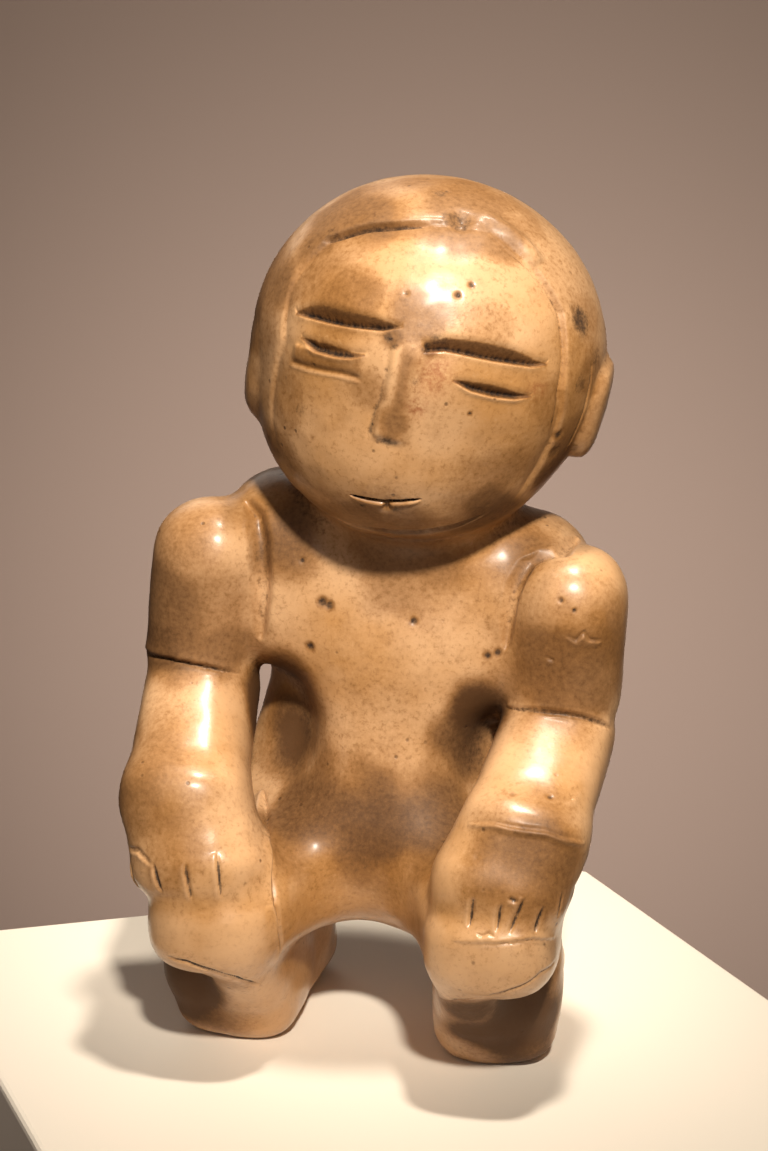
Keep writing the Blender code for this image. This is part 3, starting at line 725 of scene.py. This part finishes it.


# Broad brown patches: place on the figure, radius and strength. Most are stains in the clay. Those on the
# waist's flanks beside the arms, on the chest under the chin and under the jaw are painted shade, and those
# on the upper arms, the elbows and the feet under the knees are stain deepened with painted shade.
brownPatchesAndShade = (
    ((-24.0, -9.0, 50.0), 9.0, 0.85), ((-24.0, -9.0, 58.0), 8.0, 0.65), ((22.0, -11.0, 47.5), 8.0, 0.85),
    ((-19.0, -6.0, 63.0), 6.0, 0.4), ((-6.5, -12.0, 29.0), 7.0, 0.95), ((0.5, -13.0, 28.3), 7.5, 1.0),
    ((7.5, -12.0, 29.0), 7.0, 0.95), ((0.0, -11.0, 37.0), 9.0, 0.35), ((1.0, -12.0, 47.0), 8.0, 0.2),
    ((-22.0, -19.0, 31.0), 7.0, 0.75), ((-23.0, -14.0, 37.0), 5.0, 0.5), ((20.0, -24.0, 29.5), 6.5, 0.85),
    ((-12.0, -6.0, 40.0), 5.5, 1.3), ((-11.0, -4.0, 34.0), 5.0, 1.2), ((12.0, -7.0, 40.0), 4.5, 1.3),
    ((-19.0, -25.0, 27.0), 5.0, 0.5), ((24.5, -12.0, 83.0), 6.0, 0.5), ((-12.0, -17.0, 25.0), 6.0, 0.35),
    ((-24.5, -8.0, 49.0), 7.0, 0.85), ((-18.0, -10.0, 46.5), 4.5, 0.8), ((-15.0, -9.0, 50.0), 3.5, 0.5),
    ((-26.0, -9.0, 47.0), 5.0, 0.95), ((-23.0, -22.0, 31.0), 5.5, 0.6), ((-26.0, -18.0, 33.0), 4.0, 0.8),
    ((-25.5, -15.0, 36.5), 2.5, 0.7), ((-20.0, -14.0, 7.0), 6.5, 1.35), ((-15.0, -20.0, 11.5), 3.5, 0.6),
    ((20.0, -11.0, 44.3), 3.0, 0.85), ((24.0, -9.0, 44.0), 4.0, 0.7), ((20.5, -12.0, 53.0), 6.0, 0.5),
    ((15.5, -9.5, 44.5), 3.0, 0.6), ((19.0, -24.0, 28.5), 5.0, 0.6), ((23.0, -21.0, 28.5), 4.0, 0.5),
    ((17.0, -14.0, 7.5), 8.0, 1.35), ((22.0, -15.0, 12.0), 5.0, 1.2), ((14.0, -20.0, 9.0), 5.0, 1.1),
    ((-11.5, -3.0, 36.0), 6.0, 1.0), ((10.5, -5.0, 37.5), 6.0, 1.0), ((-10.0, -9.0, 30.5), 4.0, 0.9),
    ((-9.0, -8.0, 27.0), 4.0, 0.6), ((3.0, -10.0, 60.0), 8.0, 0.75), ((-10.0, -7.0, 60.0), 6.0, 0.9),
    ((15.0, -6.0, 58.0), 5.0, 0.8), ((-15.0, -14.0, 70.0), 6.0, 0.6), ((14.0, -18.0, 67.5), 6.0, 0.6),
    ((3.0, -20.0, 64.5), 5.0, 0.5), ((-13.0, -8.0, 92.0), 6.0, 0.45), ((22.0, -11.0, 86.0), 3.5, 0.6),
    ((21.0, -12.0, 74.0), 4.0, 0.6), ((-16.0, -9.0, 80.0), 5.0, 0.35),
)

# Stains on the head, placed in its own frame: place, radius and strength. Those on the jaw and chin are
# deepened with painted shade.
headStainsAndShade = (
    ((-3.2, -17.4, 7.2), 1.5, 0.85), ((0.9, -17.6, 7.0), 1.4, 0.90), ((-0.6, -18.0, -1.2), 1.8, 0.80),
    ((-12.0, -6.0, 14.0), 7.0, 0.84), ((-17.0, -4.0, 4.0), 7.0, 0.84), ((0.0, -4.0, 19.5), 9.0, 0.72),
    ((12.0, -4.0, 15.0), 5.0, 0.42), ((18.0, -6.0, 6.0), 4.5, 0.63), ((-1.5, -16.5, 9.8), 3.6, 0.70),
    ((-9.0, -14.5, 9.0), 4.2, 0.70), ((-13.0, -11.0, 10.0), 4.0, 0.63), ((6.0, -15.5, 9.8), 3.0, 0.42),
    ((-4.8, -17.5, 1.5), 2.6, 0.56), ((-13.0, -14.0, -4.0), 4.5, 0.49), ((-12.0, -11.0, -12.0), 5.0, 0.70),
    ((0.0, -14.0, -15.0), 5.5, 0.70), ((11.5, -11.0, -10.0), 5.0, 0.90), ((14.5, -11.0, 3.0), 3.0, 0.49),
    ((2.0, -16.0, -11.5), 2.6, 0.63), ((-4.5, -16.5, -13.0), 2.6, 0.49), ((16.0, -8.0, -6.0), 3.5, 0.84),
)


# How a patch fades: its reach in radii, the width of its fading edge, and how far noise moves that edge.
fading = {"body": {"reach": 1.6, "edge": 1.25, "wander": 0.45},
          "head": {"reach": 1.5, "edge": 1, "wander": 0.6}}


def stainedAndShaded(points, marks):
    # brown stains and painted shade from the patch tables
    drift = roughness(points, 0.22, 5)
    for where, patches, part in ((points, brownPatchesAndShade, "body"), (inHead(points), headStainsAndShade, "head")):
        fade = fading[part]
        for middle, radius, strength in patches:
            distance = np.linalg.norm(where - np.array(middle), axis=1) / radius
            inside = (fade["reach"] - distance + fade["wander"] * drift) / fade["edge"]
            darkened(marks, "stainAndShade", strength * smoothstep(inside))


def hollows(mesh, passes):
    # how deep each vertex lies below its smoothed surroundings, in hundredths
    points, normals = pointsOf(mesh), normalsOf(mesh)
    copy = mesh.copy()
    evened(copy, passes)
    soft = pointsOf(copy)
    bpy.data.meshes.remove(copy)
    return ((soft - points) * normals).sum(1)


def figurinePiece():
    mesh, marks = workedClay()
    stainedAndShaded(pointsOf(mesh), marks)
    depth = hollows(mesh, 12)
    # painted shade in the hollows, darker the deeper they lie, and a painted highlight as pale clay along the
    # ridges
    darkened(marks, "grimeAndShade", 0.28 * smoothstep((depth - 0.05) / 0.15))
    darkened(marks, "rubAndHighlight", 0.8 * smoothstep((-depth - 0.03) / 0.1))
    for name, values in marks.items():
        layer = mesh.attributes.new(name, "FLOAT", "POINT")
        layer.data.foreach_set("value", values.astype(np.float32))
    points = pointsOf(mesh)
    points[:, 2] = np.maximum(points[:, 2], 0)  # the soles are flat
    low, high = points.min(0), points.max(0)
    boxLow, boxHigh = (np.array(corner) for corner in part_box("figurine"))
    setPoints(mesh, boxLow + (points - low) * (boxHigh - boxLow) / (high - low))
    mesh.polygons.foreach_set("use_smooth", [True] * len(mesh.polygons))
    mesh.name = "clayFigurine"
    piece = bpy.data.objects.new("clayFigurine", mesh)
    bpy.context.scene.collection.objects.link(piece)
    return piece


class Nodes:
    # short hand for wiring a material
    def __init__(self, tree):
        self.tree = tree
        self.column = 0

    def add(self, kind, settings=None, **inputs):
        # an input is given by its name, or by i and its number, as a value or as the socket that feeds it
        node = self.tree.nodes.new(kind)
        node.location = (self.column * 180 - 2400, (self.column % 5) * -220)
        self.column += 1
        for name, value in (settings or {}).items():
            setattr(node, name, value)
        for name, value in inputs.items():
            numbered = name[0] == "i" and name[1:].isdigit()
            socket = node.inputs[int(name[1:]) if numbered else name]
            if isinstance(value, bpy.types.NodeSocket):
                self.tree.links.new(value, socket)
            else:
                socket.default_value = value
        return node

    def noise(self, place, scale, detail, roughness):
        node = self.add("ShaderNodeTexNoise", Vector=place, Scale=scale, Detail=detail, Roughness=roughness)
        return node.outputs["Fac"]

    def ramp(self, value, low, high):
        # a smooth rise from 0 at low to 1 at high
        node = self.add("ShaderNodeMapRange", {"interpolation_type": "SMOOTHSTEP"}, i0=value, i1=low, i2=high)
        return node.outputs[0]

    def math(self, operation, a, b):
        return self.add("ShaderNodeMath", {"operation": operation}, i0=a, i1=b).outputs[0]

    def times(self, a, b):
        return self.math("MULTIPLY", a, b)

    def mix(self, factor, first, second):
        node = self.add("ShaderNodeMix", {"data_type": "RGBA"}, i0=factor, i6=first, i7=second)
        return node.outputs[2]


# The clay's colours, its gloss, and the scale, detail and roughness of its noises.
clayLook = {
    "cream": (0.56, 0.34, 0.178, 1), "tan": (0.41, 0.207, 0.070, 1), "umber": (0.19, 0.079, 0.017, 1),
    "brown": (0.056, 0.022, 0.006, 1), "earthAndShade": (0.012, 0.007, 0.005, 1), "red": (0.26, 0.065, 0.022, 1),
    "coat": 0.42, "coatRoughness": 0.22, "specular": 0.35, "dullness": 0.27,
    "bump": 0.30, "bumpHeight": 0.0004,
    "clouds": (38, 3, 0.5), "mottle": (260, 5, 0.7), "speckle": (1100, 4, 0.7), "grit": (3200, 2, 0.6),
    "spots": 260, "spotPlaces": (90, 2, 0.5),
}


def clayMaterial():
    material = bpy.data.materials.new("burnishedClay")
    material.use_nodes = True
    tree = material.node_tree
    shader = tree.nodes["Principled BSDF"]
    n = Nodes(tree)
    place = n.add("ShaderNodeTexCoord").outputs["Object"]
    grimeAndShade, stainAndShade, rubAndHighlight, red = (n.add("ShaderNodeAttribute", {"attribute_name": name}).outputs["Fac"]
                              for name in markNames)
    clouds, mottle, speckle, grit, spotPlaces = (n.noise(place, *clayLook[name]) for name in
                                                 ("clouds", "mottle", "speckle", "grit", "spotPlaces"))
    broken = n.math("SUBTRACT", speckle, 0.5)

    # cream and tan clay, mottled and speckled, paler where it is rubbed and where highlights are painted on
    # ridges and raised edges
    colour = n.mix(n.ramp(clouds, 0.36, 0.66), clayLook["tan"], clayLook["cream"])
    colour = n.mix(n.times(n.ramp(mottle, 0.46, 0.72), 0.24), colour, clayLook["umber"])
    colour = n.mix(n.times(n.ramp(speckle, 0.50, 0.72), 0.45), colour, clayLook["umber"])
    colour = n.mix(n.times(n.ramp(speckle, 0.48, 0.25), 0.30), colour, clayLook["cream"])
    colour = n.mix(n.times(rubAndHighlight, 0.55), colour, clayLook["cream"])

    # stains and painted shade with ragged edges, reddish places, brown spots, and dark earth and painted
    # shade in hollows and cuts
    ragged = n.math("ADD", stainAndShade, n.times(broken, 0.5))
    colour = n.mix(n.times(n.ramp(ragged, 0.10, 0.75), 0.75), colour, clayLook["umber"])
    colour = n.mix(n.times(n.ramp(ragged, 0.55, 1.15), 0.85), colour, clayLook["brown"])
    rusty = n.times(red, n.ramp(speckle, 0.35, 0.60))
    colour = n.mix(n.times(rusty, 0.7), colour, clayLook["red"])
    cells = n.add("ShaderNodeTexVoronoi", Vector=place, Scale=clayLook["spots"])
    spots = n.times(n.ramp(cells.outputs["Distance"], 0.13, 0.05), n.ramp(spotPlaces, 0.50, 0.60))
    colour = n.mix(n.times(spots, 0.65), colour, clayLook["brown"])
    dirtAndShade = n.times(n.ramp(n.math("ADD", grimeAndShade, n.times(broken, 0.7)), 0.15, 0.7), 0.96)
    colour = n.mix(dirtAndShade, colour, clayLook["earthAndShade"])
    tree.links.new(colour, shader.inputs["Base Color"])

    # stained, dirty and shade-painted clay is duller and has lost its burnish
    dull = n.math("ADD", clayLook["dullness"], n.times(mottle, 0.20))
    dull = n.math("ADD", dull, n.times(dirtAndShade, 0.35))
    dull = n.math("ADD", dull, n.times(n.ramp(stainAndShade, 0.35, 1.10), 0.28))
    tree.links.new(dull, shader.inputs["Roughness"])
    shader.inputs["Specular IOR Level"].default_value = clayLook["specular"]
    gloss = n.times(n.math("SUBTRACT", 1.0, n.ramp(stainAndShade, 0.30, 0.95)), clayLook["coat"])
    tree.links.new(gloss, shader.inputs["Coat Weight"])
    shader.inputs["Coat Roughness"].default_value = clayLook["coatRoughness"]

    height = n.math("ADD", n.times(mottle, 0.5), n.times(speckle, 0.25))
    height = n.math("ADD", height, n.times(grit, 0.06))
    height = n.math("SUBTRACT", height, n.times(spots, 0.8))
    bump = n.add("ShaderNodeBump", Strength=clayLook["bump"], Distance=clayLook["bumpHeight"], Height=height)
    tree.links.new(bump.outputs[0], shader.inputs["Normal"])
    return material


figurine = figurinePiece()
figurine.data.materials.append(clayMaterial())
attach(figurine, "root")
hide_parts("figurine")
print("stage: figurine finished")


# The figure stands on a plain pale block before a plain wall.
stand = {"across": (-47.2, 48.4), "back": -43.2, "front": 54.0, "thickness": 0.14, "turn": 32.7,
         "colour": (0.84, 0.77, 0.67, 1), "dullness": 0.55, "edge": 0.0012}
wall = {"distance": 0.75, "half": (1.6, 1.2), "middle": 0.1,
        "colour": (0.33, 0.25, 0.205, 1), "dullness": 0.8}
plainGrain = {"noise": (900, 3, 0.5), "bump": 0.06, "height": 0.0003}


def plainMaterial(name, colour, dullness):
    material = bpy.data.materials.new(name)
    material.use_nodes = True
    tree = material.node_tree
    shader = tree.nodes["Principled BSDF"]
    shader.inputs["Base Color"].default_value = colour
    shader.inputs["Roughness"].default_value = dullness
    n = Nodes(tree)
    grain = n.noise(n.add("ShaderNodeTexCoord").outputs["Object"], *plainGrain["noise"])
    bump = n.add("ShaderNodeBump", Strength=plainGrain["bump"], Distance=plainGrain["height"], Height=grain)
    tree.links.new(bump.outputs[0], shader.inputs["Normal"])
    return material


def standPiece():
    bm = bmesh.new()
    bmesh.ops.create_cube(bm, size=1)
    low, high = stand["across"]
    front, back, thickness = stand["front"], stand["back"], stand["thickness"]
    bmesh.ops.scale(bm, vec=((high - low) * hundredth, (front - back) * hundredth, thickness), verts=bm.verts)
    middle = ((low + high) / 2 * hundredth, -(front + back) / 2 * hundredth, -thickness / 2)
    bmesh.ops.translate(bm, vec=middle, verts=bm.verts)
    turn = Matrix.Rotation(math.radians(stand["turn"]), 3, "Z")
    bmesh.ops.rotate(bm, cent=(0, 0, 0), matrix=turn, verts=bm.verts)
    bmesh.ops.translate(bm, vec=(centring.x * hundredth, centring.y * hundredth, 0), verts=bm.verts)
    bmesh.ops.bevel(bm, geom=bm.edges, offset=stand["edge"], affect="EDGES", segments=3, profile=0.5,
                    material=-1)
    mesh = bpy.data.meshes.new("floor")
    bm.to_mesh(mesh)
    bm.free()
    piece = bpy.data.objects.new("floor", mesh)
    bpy.context.scene.collection.objects.link(piece)
    mesh.materials.append(plainMaterial("paleFloor", stand["colour"], stand["dullness"]))
    return piece


def wallPiece():
    bm = bmesh.new()
    bmesh.ops.create_grid(bm, x_segments=1, y_segments=1, size=1)
    bmesh.ops.scale(bm, vec=(*wall["half"], 1), verts=bm.verts)
    bmesh.ops.rotate(bm, cent=(0, 0, 0), matrix=Matrix.Rotation(math.radians(90), 3, "X"), verts=bm.verts)
    bmesh.ops.translate(bm, vec=(0, wall["distance"], wall["middle"]), verts=bm.verts)
    mesh = bpy.data.meshes.new("wall")
    bm.to_mesh(mesh)
    bm.free()
    piece = bpy.data.objects.new("wall", mesh)
    bpy.context.scene.collection.objects.link(piece)
    mesh.materials.append(plainMaterial("greyWall", wall["colour"], wall["dullness"]))
    return piece


standPiece()
wallPiece()

# The camera looks down on the figure from its left, rolled a little. Angles are in degrees and the place is
# in hundredths. The lens is 2440 of the picture's 1151 rows, on a sensor of 36 mm.
view = {"place": (51.4, -270.3, 111.0), "down": 11.7, "round": 11.0, "roll": 1.7,
        "lens": 2440 / 1151 * 36, "sensor": 36}


def addCamera():
    down, around, roll = (math.radians(view[name]) for name in ("down", "round", "roll"))
    ahead = Vector((-math.sin(around), math.cos(around), 0))
    across = Vector((math.cos(around), math.sin(around), 0))
    forward = ahead * math.cos(down) - Vector((0, 0, math.sin(down)))
    up = ahead * math.sin(down) + Vector((0, 0, math.cos(down)))
    right = across * math.cos(roll) + up * math.sin(roll)
    top = -across * math.sin(roll) + up * math.cos(roll)
    camera = bpy.data.cameras.new("camera")
    camera.sensor_width = view["sensor"]
    camera.lens = view["lens"]
    camera.clip_start = 0.01
    holder = bpy.data.objects.new("camera", camera)
    bpy.context.scene.collection.objects.link(holder)
    pose = Matrix((right, top, -forward)).transposed().to_4x4()
    pose.translation = (Vector(view["place"]) + centring) * hundredth
    holder.matrix_world = pose
    bpy.context.scene.camera = holder


# Places and sizes of the lights are in metres. The gleam is how strongly a light shows in the burnish.
lights = (
    {"name": "keyLight", "kind": "AREA", "place": (0.080, -0.085, 0.70), "aim": (0, 0, 0.05), "size": 0.05,
     "power": 4.0, "gleam": 0.05, "colour": (1.0, 0.91, 0.78)},
    {"name": "frontLight", "kind": "SPOT", "place": (0.23, -0.76, 0.78), "aim": (0.010, -0.03, 0.108),
     "size": 0.04, "power": 86.0, "gleam": 0.3, "colour": (1.0, 0.90, 0.77), "cone": 12.0},
    {"name": "fillLight", "kind": "AREA", "place": (0.10, -0.75, 0.30), "aim": (0, 0, 0.07), "size": 0.5,
     "power": 0.75, "gleam": 1.0, "colour": (1.0, 0.90, 0.84)},
    {"name": "backLight", "kind": "AREA", "place": (-0.35, 0.60, 0.55), "aim": (0, 0, 0.08), "size": 0.5,
     "power": 0.6, "gleam": 0.5, "colour": (1.0, 0.90, 0.80)},
    {"name": "wallLight", "kind": "SPOT", "place": (-0.12, 0.28, -0.10), "aim": (-0.12, 0.75, -0.12),
     "size": 0.05, "power": 9.5, "gleam": 1.0, "colour": (1.0, 0.90, 0.84), "cone": 110.0},
)
room = {"colour": (0.35, 0.265, 0.215, 1), "strength": 0.25}


def addLights():
    for light in lights:
        lamp = bpy.data.lights.new(light["name"], light["kind"])
        if light["kind"] == "AREA":
            lamp.size = light["size"]
        else:
            lamp.shadow_soft_size = light["size"]
            lamp.spot_size = math.radians(light["cone"])
            lamp.spot_blend = 1.0
        lamp.energy = light["power"]
        lamp.specular_factor = light["gleam"]
        lamp.color = light["colour"]
        holder = bpy.data.objects.new(light["name"], lamp)
        bpy.context.scene.collection.objects.link(holder)
        holder.location = light["place"]
        aim = Vector(light["aim"]) - Vector(light["place"])
        holder.rotation_euler = aim.to_track_quat("-Z", "Y").to_euler()
    world = bpy.data.worlds.new("studio")
    world.use_nodes = True
    background = world.node_tree.nodes["Background"]
    background.inputs["Color"].default_value = room["colour"]
    background.inputs["Strength"].default_value = room["strength"]
    bpy.context.scene.world = world
    bpy.context.scene.view_settings.view_transform = "Standard"  # keeps the clay's warm colours


addCamera()
addLights()
print("stage: camera and lights set")
